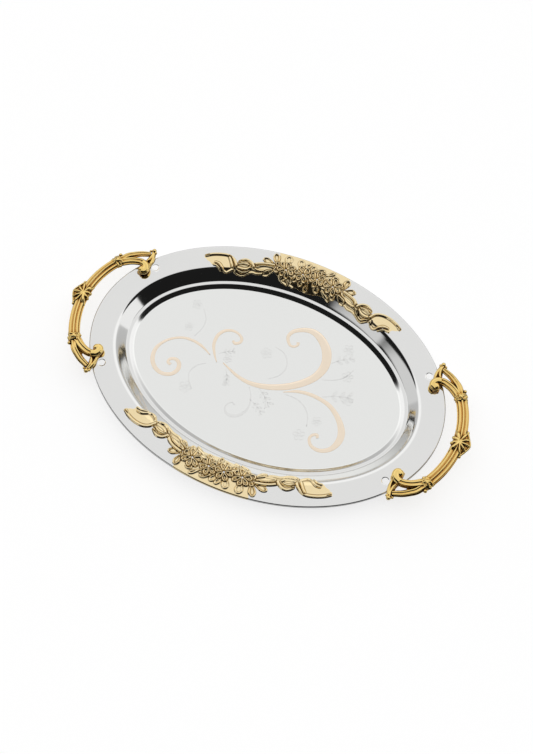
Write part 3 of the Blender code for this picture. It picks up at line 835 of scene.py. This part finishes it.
# (points, half widths, half depths) of the bars of a strand, after its start in the knot, and of a foot
STRANDS = (
    (((208.2, 57.4, 4.8), (201.4, 61.6, 4.8), (195.0, 64.0, 4.8), (189.6, 65.0, 5.0), (185.0, 64.2, 5.2)),
     (5.4, 5.4, 5.1, 4.9, 4.8, 4.6), (4.5, 4.3, 4.3, 4.3, 4.3, 4.2)),
    (((208.0, 65.4, 4.4), (200.8, 71.6, 4.1), (194.6, 75.6, 3.8), (189.0, 78.0, 3.6), (184.2, 80.0, 3.4)),
     (5.0, 4.4, 4.0, 3.7, 3.4), (3.9, 3.8, 3.6, 3.4, 3.2)),
)
FOOT_BARS = (
    (((211.0, 60.6, 3.0), (204.0, 65.6, 2.8), (197.4, 69.6, 2.6)), (3.0, 3.4, 2.0), 2.2),
    (((187.0, 64.8, 5.2), (182.8, 63.0, 5.4), (180.2, 59.4, 5.6), (180.6, 55.4, 5.6), (184.2, 53.6, 5.4)),
     (4.6, 4.6, 4.3, 4.0, 3.4), (4.2, 4.3, 4.2, 4.0, 3.4)),
    (((181.4, 61.4, 3.4), (179.2, 67.6, 3.2), (179.4, 75.2, 3.0), (181.4, 82.6, 3.0)),
     (1.2, 1.6, 1.6, 1.2), (1.6, 2.0, 2.0, 1.6)),
    (((186.0, 66.8, 4.0), (183.0, 72.0, 3.8), (182.2, 78.0, 3.6), (183.0, 83.6, 3.4)),
     (1.2, 1.6, 1.6, 1.2), (1.6, 2.0, 2.0, 1.6)),
    (((186.2, 51.4, 1.4), (183.6, 61.0, 1.4), (181.6, 73.0, 1.4), (182.0, 84.0, 1.4)),
     (3.2, 5.4, 4.6, 2.6), 1.6),
)
FOOT_KNOBS = ((184.0, 56.0, 5.0, 4.7), (182.6, 85.8, 3.4, 2.6), (186.2, 83.8, 3.4, 1.6),
              (179.8, 83.8, 3.0, 1.6))
CAST_DETAIL = 0.36 * MM


def grip_point(y):
    """A point on the grip's centre line."""
    x = BAR_TOP_X - BAR_RADIUS + math.sqrt(BAR_RADIUS ** 2 - y ** 2)
    return (x, y, BAR_MID_HEIGHT - (BAR_MID_HEIGHT - BAR_END_HEIGHT) * (y / BAR_END_Y) ** 2)


def grip_line(start, end, count):
    return [grip_point(y) for y in np.linspace(start, end, count)]


def end_line(side, points):
    """A smooth line near one end of the handle. side is 1 for the rear end and -1 for the front."""
    return smooth_path([(x, y * side, height) for x, y, height in points])


def spread(values, share):
    """A value along a line, from values spaced evenly along it."""
    values = np.atleast_1d(values)
    return np.interp(share, np.linspace(0, 1, len(values)), values)


def add_bar(bm, path, half_width, half_depth, reeds=0, groove=0.0, sides=20):
    """A closed bar along a path. Its cross-section is an ellipse with a number of reeds round it."""
    path = np.asarray(path, float)
    last = len(path) - 1
    rings = []
    for k, place in enumerate(path):
        forward = Vector(path[min(k + 1, last)] - path[max(k - 1, 0)]).normalized()
        across = forward.cross(Vector((0, 0, 1))).normalized()
        upward = across.cross(forward)
        across = across * spread(half_width, k / last)
        upward = upward * spread(half_depth, k / last)
        ring = []
        for angle in np.linspace(0, math.tau, sides, endpoint=False):
            reed = 1.0 - groove * (0.5 - 0.5 * math.cos(reeds * angle))
            offset = (across * math.cos(angle) + upward * math.sin(angle)) * reed
            ring.append(bm.verts.new((Vector(place) + offset) * MM))
        rings.append(ring)
    for lower, upper in zip(rings, rings[1:]):
        for side in range(sides):
            following = (side + 1) % sides
            bm.faces.new((lower[side], lower[following], upper[following], upper[side]))
    bm.faces.new(rings[0][::-1])
    bm.faces.new(rings[-1])


def add_bead(bm, place, radius):
    matrix = Matrix.Translation(Vector(place) * MM) @ Matrix.Scale(radius * MM, 4)
    bmesh.ops.create_uvsphere(bm, u_segments=24, v_segments=16, radius=1.0, matrix=matrix)


def add_rays(bm, corners, count, arch, half_width):
    """Ribs from the shell's pivot over an arch to tips spaced along a line of corners."""
    share = np.linspace(0, 1, count)
    for tip in np.stack([spread(column, share) for column in np.transpose(corners)], -1):
        middle = SHELL_PIVOT * 0.45 + tip * 0.55 + np.array((0, 0, arch))
        add_bar(bm, smooth_path((SHELL_PIVOT, middle, tip), steps=6), half_width,
                np.array(half_width) * 1.15)


def add_shell(bm):
    """The shell at the middle of the grip: a pointed fan outside, curling leaves inside."""
    add_bar(bm, grip_line(-4.0, 8.0, 13), (5.4, 6.8, 5.4), (4.0, 4.9, 4.0), sides=32)
    add_bar(bm, SHELL_WEB, (15.4, 14.0, 1.2), (3.6, 3.2, 2.0), sides=32)
    add_bar(bm, smooth_path(SHELL_EDGE), (1.2, 1.0, 1.2), (1.4, 1.3, 1.4))
    add_rays(bm, SHELL_EDGE, 5, 1.2, (0.5, 1.2, 1.5, 1.3))
    add_rays(bm, SHELL_LEAVES, 4, 2.2, (0.7, 1.6, 2.2, 1.9))
    for place in SHELL_KNOBS:
        add_bead(bm, place, 2.0)


def add_knot(bm, side):
    """The knot at one end of the grip: a banded ring crossed by two ties, with knobs round it."""
    ring = grip_line((BAR_END_Y - 4.2) * side, (BAR_END_Y + 4.6) * side, 19)
    add_bar(bm, ring, (5.4, 7.4, 6.6, 6.9, 6.6, 7.4, 5.4), (3.8, 5.3, 4.5, 4.9, 4.5, 5.3, 3.8), sides=48)
    for start, end in KNOT_TIES:
        first = np.array((start[0], start[1] * side, 5.0))
        last = np.array((end[0], end[1] * side, 5.0))
        middle = (first + last) / 2 + np.array((0, 0, 5.4))
        add_bar(bm, smooth_path((first, middle, last), steps=10), (1.3, 1.6, 1.3), (1.2, 1.4, 1.2))
    for x, y, radius in KNOT_KNOBS:
        add_bead(bm, (x, y * side, 5.2), radius)


def add_foot(bm, side):
    """The foot at one end of the handle: a fat curl, a folded leaf, knobs and the flat base."""
    for points, half_width, half_depth in FOOT_BARS:
        add_bar(bm, end_line(side, points), half_width, half_depth)
    for x, y, height, radius in FOOT_KNOBS:
        add_bead(bm, (x, y * side, height), radius)


def add_strands(bm, side):
    """The two reeded strands between a knot and its foot."""
    start = (*grip_point(BAR_END_Y - 2)[:2], BAR_END_HEIGHT)
    for points, half_width, half_depth in STRANDS:
        add_bar(bm, end_line(side, (start, *points)), half_width, half_depth,
                reeds=6, groove=STRAND_GROOVE, sides=72)


def fused_mesh(bm):
    """Overlapping shapes fused and softened into one casting."""
    rough = linked("rough_casting", mesh_of(bm))
    remesh = rough.modifiers.new("fuse", "REMESH")
    remesh.mode = "VOXEL"
    remesh.voxel_size = CAST_DETAIL
    soften = rough.modifiers.new("soften", "SMOOTH")
    soften.factor = 0.5
    soften.iterations = 1
    mesh = evaluated_mesh(rough)
    bpy.data.objects.remove(rough, do_unlink=True)
    return mesh


def build_handles(material):
    ornate = bmesh.new()
    reeded = bmesh.new()
    add_bar(reeded, grip_line(-BAR_END_Y - 2, BAR_END_Y + 2, 61), BAR_HALF_WIDTH, BAR_HALF_DEPTH,
            reeds=8, groove=GRIP_GROOVE, sides=128)
    add_shell(ornate)
    for side in (1, -1):
        add_knot(ornate, side)
        add_foot(ornate, side)
        add_strands(reeded, side)
    right = joined([fused_mesh(ornate), mesh_of(reeded)])
    for vertex in right.vertices:
        vertex.co.z = max(vertex.co.z, GAP)
    right.transform(Matrix.Translation((0, 0, RIM_TOP)))
    right.shade_smooth()
    left = right.copy()
    left.transform(Matrix.Rotation(math.pi, 4, "Z"))
    add_piece("cast_handle_right", right, material, "gold_casting", "handle_right")
    add_piece("cast_handle_left", left, material, "gold_casting", "handle_left")


# ---- Fasteners ----
SCREW_HEAD_HEIGHT = 2.2 * MM
SCREW_RADIUS = 1.9 * MM
THREAD_PITCH = 0.7 * MM
RECESS_HALF_WIDTH = 0.35 * MM
FASTENER_SHARP_ANGLE = math.radians(40)


def turned_mesh(profile, closed=False, segments=48):
    """A solid turned about Z from (radius, height) points. A closed profile makes a ring."""
    angles = np.linspace(0, math.tau, segments, endpoint=False)
    places = [np.stack((radius * np.cos(angles), radius * np.sin(angles), np.full(segments, height)), -1)
              for radius, height in profile]
    return ring_mesh(np.concatenate(places), segments, closed)


def screw_mesh(head_radius, length):
    """A pan-head screw with a cross recess and a thread, head down, the head's top at height 0."""
    profile = []
    for share in np.linspace(0.15, 1, 7):
        angle = share * math.pi / 2
        profile.append((head_radius * math.sin(angle) ** 0.6, -SCREW_HEAD_HEIGHT * math.cos(angle)))
    profile.append((SCREW_RADIUS, 0))
    height = THREAD_PITCH
    while height < length - THREAD_PITCH:
        profile.append((SCREW_RADIUS, height))
        profile.append((SCREW_RADIUS * 0.84, height + THREAD_PITCH / 2))
        height += THREAD_PITCH
    profile.append((SCREW_RADIUS * 0.6, length))
    arm = head_radius * 0.55
    tools = []
    for width, depth in ((arm, RECESS_HALF_WIDTH), (RECESS_HALF_WIDTH, arm)):
        bm = bmesh.new()
        bmesh.ops.create_cube(bm, size=2.0)
        bmesh.ops.scale(bm, vec=(width, depth, SCREW_HEAD_HEIGHT * 0.6), verts=bm.verts)
        bmesh.ops.translate(bm, vec=(0, 0, -SCREW_HEAD_HEIGHT), verts=bm.verts)
        tools.append(mesh_of(bm))
    return cut_with(turned_mesh(profile), tools)


def washer_mesh(bore, radius, thickness):
    """A stamped washer with slightly rounded edges, its top face at height 0."""
    edge = thickness * 0.25
    profile = ((bore, edge - thickness), (bore + edge, -thickness), (radius - edge, -thickness),
               (radius, edge - thickness), (radius, -edge), (radius - edge, 0), (bore + edge, 0),
               (bore, -edge))
    return turned_mesh(profile, closed=True)


def build_fasteners(material):
    for corner in ("left_front", "left_rear", "right_front", "right_rear"):
        for kind in ("screw", "washer"):
            node = f"handle_{kind}_{corner}"
            low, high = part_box(node)
            centre = (low + high) / 2
            outer = (high.x - low.x) / 2
            if kind == "screw":
                level = low.z + SCREW_HEAD_HEIGHT
                mesh = screw_mesh(outer, high.z - level)
            else:
                level = high.z
                mesh = washer_mesh(SCREW_HOLE_RADIUS, outer, high.z - low.z)
            mesh.transform(Matrix.Translation((centre.x, centre.y, level)))
            mesh.shade_smooth()
            mesh.set_sharp_from_angle(angle=FASTENER_SHARP_ANGLE)
            add_piece(f"{kind}_{corner}", mesh, material, "zinc_steel", node)


# ---- Materials ----
# Painted shade: the brown given to the hollows of the ornament's pressing.
PAINTED_HOLLOW_SHADE = (0.13, 0.07, 0.022)
# (open share where it starts, open share where it is full, colour) of the painted light in the handle's
# crevices: an orange painted reflection, then brown painted shade
PAINTED_CREVICE_SHADE = ((0.92, 0.76, (0.60, 0.27, 0.045)), (0.80, 0.55, (0.05, 0.017, 0.003)))
PAINTED_SHADE_REACH = 3.5 * MM
# Painted light: the floor's steel colour, brighter than the rim's, standing in for the brighter reflection
# the floor shows.
FLOOR_STEEL_PAINTED_LIGHT = (0.86, 0.865, 0.85)


def add_node(tree, kind, inputs=None, **settings):
    """A shader node with its settings, its input values and its incoming links."""
    made = tree.nodes.new(kind)
    for key, value in settings.items():
        setattr(made, key, value)
    for key, value in (inputs or {}).items():
        if isinstance(value, bpy.types.NodeSocket):
            tree.links.new(value, made.inputs[key])
        else:
            made.inputs[key].default_value = value
    return made


def mix_colours(tree, factor, first, second):
    """Mix two colours, each a socket or a plain colour."""
    mix = add_node(tree, "ShaderNodeMix", {"Factor": factor}, data_type="RGBA")
    for socket, value in ((mix.inputs[6], first), (mix.inputs[7], second)):
        if isinstance(value, bpy.types.NodeSocket):
            tree.links.new(value, socket)
        else:
            socket.default_value = (*value, 1)
    return mix.outputs[2]


def new_metal(name, roughness, colour_a, colour_b, patch_scale):
    """A metal whose colour and roughness drift over patches, with its tree, place and colour."""
    material = bpy.data.materials.new(name)
    material.use_nodes = True
    tree = material.node_tree
    place = add_node(tree, "ShaderNodeTexCoord").outputs["Object"]
    patches = add_node(tree, "ShaderNodeTexNoise",
                       {"Vector": place, "Scale": patch_scale, "Detail": 5.0, "Roughness": 0.6})
    rough = add_node(tree, "ShaderNodeMapRange",
                     {"Value": patches.outputs["Fac"], "From Min": 0.3, "From Max": 0.7,
                      "To Min": roughness[0], "To Max": roughness[1]})
    shader = tree.nodes["Principled BSDF"]
    shader.inputs["Metallic"].default_value = 1.0
    tree.links.new(rough.outputs["Result"], shader.inputs["Roughness"])
    return material, tree, place, mix_colours(tree, patches.outputs["Fac"], colour_a, colour_b)


def set_surface(tree, colour, normal):
    shader = tree.nodes["Principled BSDF"]
    tree.links.new(colour, shader.inputs["Base Color"])
    tree.links.new(normal, shader.inputs["Normal"])


def scratched_bump(tree, place, turn, scale, strength, below=None):
    """Fine straight polishing marks as a bump. below is the bump they lie on."""
    turned = add_node(tree, "ShaderNodeMapping",
                      {"Vector": place, "Rotation": (0, 0, math.radians(turn)),
                       "Scale": (scale, scale * 0.03, scale)})
    marks = add_node(tree, "ShaderNodeTexNoise",
                     {"Vector": turned.outputs["Vector"], "Scale": 1.0, "Detail": 3.0, "Roughness": 0.7})
    bump = add_node(tree, "ShaderNodeBump",
                    {"Strength": strength, "Distance": 0.02 * MM, "Height": marks.outputs["Fac"]})
    if below is not None:
        tree.links.new(below, bump.inputs["Normal"])
    return bump.outputs["Normal"]


def wavy_bump(tree, place, scale, distance):
    """The slight unevenness of pressed or cast metal."""
    waves = add_node(tree, "ShaderNodeTexNoise", {"Vector": place, "Scale": scale, "Detail": 2.0})
    return add_node(tree, "ShaderNodeBump", {"Strength": 1.0, "Distance": distance,
                                             "Height": waves.outputs["Fac"]}).outputs["Normal"]


def polished_steel():
    """Mirror-polished steel with two sets of polishing marks, its colour a little brighter on the floor as
    painted light.
    """
    material, tree, place, tint = new_metal(
        "polished_steel", (0.045, 0.10), (0.78, 0.785, 0.78), (0.83, 0.825, 0.81), 14.0)
    height = add_node(tree, "ShaderNodeSeparateXYZ", {"Vector": place}).outputs["Z"]
    above_floor = soft_range(tree, height, SHEET * 1.5, SHEET * 3)
    waves = wavy_bump(tree, place, 16.0, 0.12 * MM)
    marks = scratched_bump(tree, place, 20, 2600.0, 0.05, waves)
    marks = scratched_bump(tree, place, -55, 1900.0, 0.04, marks)
    # Painted light: the floor takes the brighter colour.
    set_surface(tree, mix_colours(tree, above_floor, FLOOR_STEEL_PAINTED_LIGHT, tint), marks)
    return material


def ornament_gold():
    """Pale plated gold with brown painted shade in the hollows of the pressing."""
    material, tree, place, tint = new_metal(
        "ornament_gold", (0.05, 0.10), (0.91, 0.73, 0.41), (0.95, 0.80, 0.51), 60.0)
    # Painted shade: the deeper a point lies in a hollow, the browner its colour.
    hollow = add_node(tree, "ShaderNodeAttribute", attribute_name="recess").outputs["Fac"]
    deep = add_node(tree, "ShaderNodeMapRange", {"Value": hollow, "From Min": 0.12, "From Max": 0.8})
    colour = mix_colours(tree, deep.outputs["Result"], tint, PAINTED_HOLLOW_SHADE)
    grain = wavy_bump(tree, place, 700.0, 0.02 * MM)
    set_surface(tree, colour, scratched_bump(tree, place, 10, 2200.0, 0.06, grain))
    return material


def handle_gold():
    """Deeper yellow gold with painted light in the crevices of the casting: orange painted reflection, then
    brown painted shade.
    """
    material, tree, place, colour = new_metal(
        "handle_gold", (0.04, 0.08), (0.86, 0.60, 0.19), (0.92, 0.71, 0.29), 45.0)
    # Painted shade: where less open sky reaches, the colour turns orange and then brown.
    open_sky = add_node(tree, "ShaderNodeAmbientOcclusion", {"Distance": PAINTED_SHADE_REACH}, samples=12)
    for start, end, shade_colour in PAINTED_CREVICE_SHADE:
        depth = add_node(tree, "ShaderNodeMapRange",
                         {"Value": open_sky.outputs["AO"], "From Min": start, "From Max": end})
        colour = mix_colours(tree, depth.outputs["Result"], colour, shade_colour)
    waves = wavy_bump(tree, place, 350.0, 0.05 * MM)
    set_surface(tree, colour, scratched_bump(tree, place, 80, 1700.0, 0.08, waves))
    return material


def brushed_metal(name, roughness, colour_a, colour_b, patch_scale, turn, scale, strength):
    """A metal with one set of brush marks, at a turn in degrees."""
    material, tree, place, tint = new_metal(name, roughness, colour_a, colour_b, patch_scale)
    set_surface(tree, tint, scratched_bump(tree, place, turn, scale, strength))
    return material


def plated_peach(name, colour_a, colour_b):
    return brushed_metal(name, (0.10, 0.20), colour_a, colour_b, 90.0, 20, 2400.0, 0.06)


def frosted_etch():
    material, tree, place, tint = new_metal(
        "frosted_etch", (0.14, 0.22), (0.79, 0.79, 0.775), (0.84, 0.84, 0.83), 250.0)
    set_surface(tree, tint, wavy_bump(tree, place, 2500.0, 0.01 * MM))
    return material


# ---- Stage, light and camera ----
CAMERA_TURN = 0.41399  # radians round Z from the tray's front
CAMERA_RISE = 1.14440
CAMERA_ROLL = 0.00723
CAMERA_DISTANCE = 1.1676
CAMERA_AIM = Vector((5.44 * MM, -8.37 * MM, RIM_TOP))
CAMERA_LENS = 49.46
# The studio. Turns are degrees round Z from the front, and rises are degrees above the horizon.
CEILING = 0.90
HORIZON = 0.58
BRIGHT_BAND = 1.10
BAND_FADE_IN = (8.0, 22.0)
BAND_FADE_OUT = (36.0, 52.0)
BLACK_DRAPE = 0.012
DRAPE_TURN = 20.0
DRAPE_HALF_TURN = 100.0
DRAPE_RISE = 64.5
DRAPE_SQUARENESS = 3.0  # 2 makes the drape an ellipse, more makes it squarer
DRAPE_EDGE = (0.90, 1.10)
# (brightness, turns, rises, softness of the edge) of the panels in front of the drape
PANELS = (
    (0.74, (-88.0, -17.0), (-30.0, 17.0), 2.0),
    (0.74, (-44.0, -21.0), (-30.0, 22.5), 2.0),
    (1.0, (90.0, 126.0), (-30.0, 26.0), 1.5),
)
FLOOR_GLOW = 0.72
FLOOR_WHITE = 0.45
FLOOR_REFLECTED = 0.42  # the floor as the polished metal mirrors it


def build_stage():
    """A plain pale floor just under the tray. Metal mirrors it darker, and from below it is clear."""
    material = bpy.data.materials.new("pale_floor")
    material.use_nodes = True
    tree = material.node_tree
    shader = tree.nodes["Principled BSDF"]
    shader.inputs["Base Color"].default_value = (FLOOR_WHITE, FLOOR_WHITE, FLOOR_WHITE, 1)
    shader.inputs["Roughness"].default_value = 0.9
    shader.inputs["Specular IOR Level"].default_value = 0.0
    shader.inputs["Emission Color"].default_value = (1, 1, 1, 1)
    shader.inputs["Emission Strength"].default_value = FLOOR_GLOW
    mirrored = add_node(tree, "ShaderNodeEmission", {"Strength": FLOOR_REFLECTED})
    ray = add_node(tree, "ShaderNodeLightPath")
    choice = add_node(tree, "ShaderNodeMixShader",
                      {0: ray.outputs["Is Glossy Ray"], 1: shader.outputs["BSDF"],
                       2: mirrored.outputs["Emission"]})
    from_below = add_node(tree, "ShaderNodeNewGeometry").outputs["Backfacing"]
    clear = add_node(tree, "ShaderNodeBsdfTransparent")
    floor = add_node(tree, "ShaderNodeMixShader",
                     {0: from_below, 1: choice.outputs["Shader"], 2: clear.outputs["BSDF"]})
    tree.links.new(floor.outputs["Shader"], tree.nodes["Material Output"].inputs["Surface"])
    bm = bmesh.new()
    bmesh.ops.create_grid(bm, x_segments=1, y_segments=1, size=6.0)
    bmesh.ops.translate(bm, vec=(0, 0, -GAP), verts=bm.verts)
    add_object("pale_floor", mesh_of(bm), material)


def compute(tree, operation, *values):
    """The result of a maths node. Each value is a number or a socket."""
    return add_node(tree, "ShaderNodeMath", dict(enumerate(values)), operation=operation).outputs["Value"]


def soft_range(tree, value, start, end):
    """0 before start and 1 after end, eased between."""
    return add_node(tree, "ShaderNodeMapRange", {"Value": value, "From Min": start, "From Max": end},
                    interpolation_type="SMOOTHSTEP").outputs["Result"]


def blend(tree, factor, first, second):
    """Numbers or sockets mixed by a factor."""
    share = compute(tree, "MULTIPLY", factor, second)
    return compute(tree, "MULTIPLY_ADD", compute(tree, "SUBTRACT", 1.0, factor), first, share)


def panel_mask(tree, turn, rise, turns, rises, soft):
    """1 on a panel of the studio between two turns and two rises, 0 elsewhere."""
    mask = soft_range(tree, turn, turns[0] - soft, turns[0] + soft)
    for value, start, end in ((turn, turns[1] + soft, turns[1] - soft),
                              (rise, rises[0] - soft, rises[0] + soft),
                              (rise, rises[1] + soft, rises[1] - soft)):
        mask = compute(tree, "MULTIPLY", mask, soft_range(tree, value, start, end))
    return mask


def build_room_light():
    """A white studio with a black drape in front of the tray and light panels before the drape."""
    world = bpy.data.worlds.new("studio")
    bpy.context.scene.world = world
    world.use_nodes = True
    tree = world.node_tree
    direction = add_node(tree, "ShaderNodeTexCoord").outputs["Generated"]
    axes = add_node(tree, "ShaderNodeSeparateXYZ", {"Vector": direction})
    forward = compute(tree, "MULTIPLY", axes.outputs["Y"], -1.0)
    turn = compute(tree, "ARCTAN2", axes.outputs["X"], forward)
    turn = compute(tree, "DEGREES", turn)
    rise = compute(tree, "DEGREES", compute(tree, "ARCSINE", axes.outputs["Z"]))
    across = compute(tree, "DIVIDE", compute(tree, "SUBTRACT", turn, DRAPE_TURN), DRAPE_HALF_TURN)
    upward = compute(tree, "DIVIDE", rise, DRAPE_RISE)
    across = compute(tree, "POWER", compute(tree, "ABSOLUTE", across), DRAPE_SQUARENESS)
    upward = compute(tree, "POWER", compute(tree, "ABSOLUTE", upward), DRAPE_SQUARENESS)
    reach = compute(tree, "ADD", across, upward)
    walls = blend(tree, soft_range(tree, rise, *BAND_FADE_IN), HORIZON, BRIGHT_BAND)
    walls = blend(tree, soft_range(tree, rise, *BAND_FADE_OUT), walls, CEILING)
    level = blend(tree, soft_range(tree, reach, *DRAPE_EDGE), BLACK_DRAPE, walls)
    for brightness, turns, rises, soft in PANELS:
        level = blend(tree, panel_mask(tree, turn, rise, turns, rises, soft), level, brightness)
    seen = add_node(tree, "ShaderNodeLightPath").outputs["Is Camera Ray"]
    level = blend(tree, seen, level, 1.0)
    background = tree.nodes["Background"]
    tree.links.new(level, background.inputs["Strength"])
    background.inputs["Color"].default_value = (1, 1, 1, 1)


def build_camera():
    rise = math.cos(CAMERA_RISE)
    back = Vector((math.sin(CAMERA_TURN) * rise, -math.cos(CAMERA_TURN) * rise, math.sin(CAMERA_RISE)))
    right = (-back).cross(Vector((0, 0, 1))).normalized()
    up = right.cross(-back)
    turned_right = right * math.cos(CAMERA_ROLL) + up * math.sin(CAMERA_ROLL)
    turned_up = up * math.cos(CAMERA_ROLL) - right * math.sin(CAMERA_ROLL)
    pose = Matrix((turned_right, turned_up, back)).transposed().to_4x4()
    pose.translation = CAMERA_AIM + back * CAMERA_DISTANCE
    camera = bpy.data.cameras.new("camera")
    camera.lens = CAMERA_LENS
    camera.clip_start = 0.01
    viewer = linked("camera", camera)
    viewer.matrix_world = pose
    bpy.context.scene.camera = viewer
    bpy.context.scene.view_settings.view_transform = "Standard"


def main():
    steel = polished_steel()
    relief = design_relief()
    build_sheet(relief, steel)
    build_ornaments(relief, ornament_gold())
    build_floor_pattern(plated_peach("plated_peach", (0.88, 0.75, 0.60), (0.92, 0.80, 0.66)),
                        plated_peach("peach_border", (0.86, 0.70, 0.52), (0.90, 0.74, 0.57)),
                        frosted_etch())
    build_handles(handle_gold())
    build_fasteners(brushed_metal("zinc_plate", (0.22, 0.42), (0.50, 0.53, 0.58), (0.66, 0.64, 0.58),
                                  420.0, 35, 5200.0, 0.3))
    build_stage()
    build_room_light()
    build_camera()


main()
